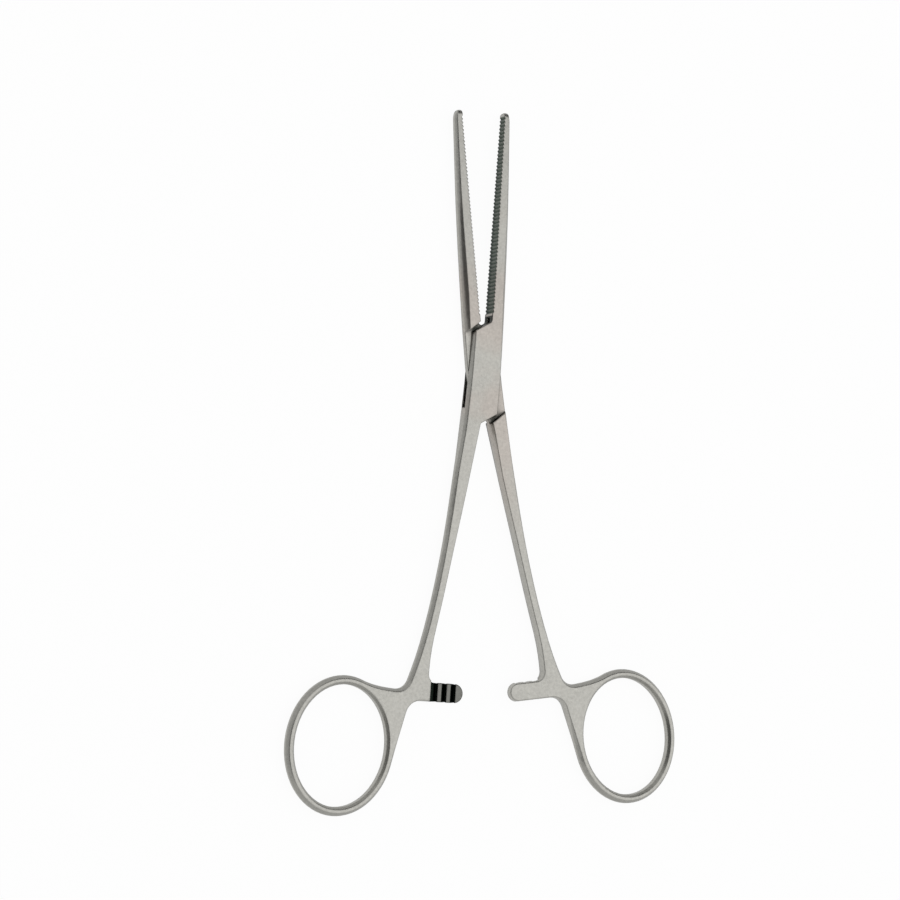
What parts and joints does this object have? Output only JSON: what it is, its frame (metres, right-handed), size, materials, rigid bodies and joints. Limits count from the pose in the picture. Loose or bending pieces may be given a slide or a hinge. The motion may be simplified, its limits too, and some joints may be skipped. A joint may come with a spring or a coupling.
{
  "type": "hemostat forceps",
  "caption": "Straight locking hemostat forceps with a box lock, cross-serrated jaws, finger rings and an interlocking ratchet.",
  "frame": {"origin": "pivot axis of the box lock, on the flat rear face of the box, which is the face that the instrument lies on", "axes": "+Y along the instrument towards the jaw tips, +Z along the pivot axis out of the front face, +X to the right seen from the front"},
  "size_m": [0.0966, 0.1585, 0.0042],
  "materials": {
    "satin_steel": "satin",
    "pin_steel": "satin"
  },
  "bodies": {
    "box_half": {"box_half": "satin_steel", "pivot_pin": "pin_steel"},
    "male_half": {"male_half": "satin_steel"}
  },
  "joints": [
    {"name": "box_lock_pivot", "type": "hinge", "parent": "box_half", "child": "male_half", "pos_m": [0, 0, 0.0021], "axis": [0, 0, 1], "range_deg": [-10.1, 65]}
  ]
}
